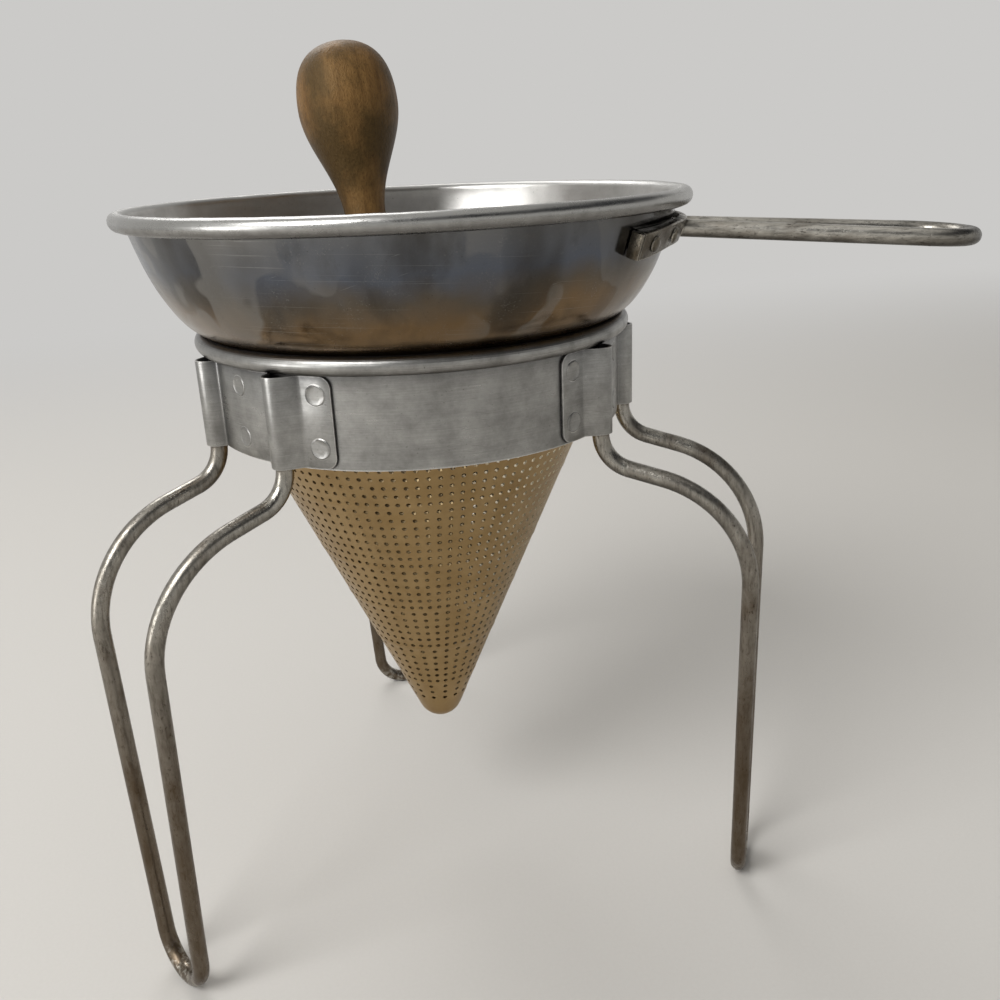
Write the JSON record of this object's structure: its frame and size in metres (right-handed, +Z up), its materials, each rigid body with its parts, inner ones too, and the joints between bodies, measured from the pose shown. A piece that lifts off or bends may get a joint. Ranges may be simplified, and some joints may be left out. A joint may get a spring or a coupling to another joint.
{
  "type": "conical strainer with stand",
  "caption": "Conical aluminium strainer with a wire handle, resting in a ring stand on wire legs, with a turned wooden pestle.",
  "frame": {"origin": "on the floor, on the axis of the stand's ring and of the strainer", "axes": "+Z up along the ring's axis, +Y towards the rear leg, +X to the viewer's right; the front is towards -Y"},
  "size_m": [0.3322, 0.2462, 0.3456],
  "materials": {
    "aluminium": "polished, worn and scratched sheet",
    "satin_aluminium": "satin sheet with fine scratches",
    "old_steel": "bright wire and strap, dulled and pitted with age",
    "dark_wood": "turned hardwood, darkened and polished by use"
  },
  "bodies": {
    "stand": {"stand_ring": "satin_aluminium", "socket_plate_left": "satin_aluminium", "socket_plate_right": "satin_aluminium", "socket_plate_rear": "satin_aluminium"},
    "left_leg": {"leg_left": "old_steel"},
    "right_leg": {"leg_right": "old_steel"},
    "rear_leg": {"leg_rear": "old_steel"},
    "strainer_body": {"strainer": "aluminium", "handle_bracket": "old_steel", "handle": "old_steel", "handle_rivets": "old_steel"},
    "pestle_body": {"pestle": "dark_wood"}
  },
  "joints": [
    {"name": "left_leg_slide", "type": "slide", "parent": "stand", "child": "left_leg", "axis": [0, 0, -1], "range_m": [0, 0.04]},
    {"name": "right_leg_slide", "type": "slide", "parent": "stand", "child": "right_leg", "axis": [0, 0, -1], "range_m": [0, 0.04]},
    {"name": "rear_leg_slide", "type": "slide", "parent": "stand", "child": "rear_leg", "axis": [0, 0, -1], "range_m": [0, 0.04]},
    {"name": "strainer_lift", "type": "slide", "parent": "stand", "child": "strainer_body", "axis": [0, 0, 1], "range_m": [0, 0.2]},
    {"name": "pestle_lift", "type": "slide", "parent": "strainer_body", "child": "pestle_body", "axis": [-0.044, 0.2907, 0.9558], "range_m": [0, 0.3]}
  ]
}
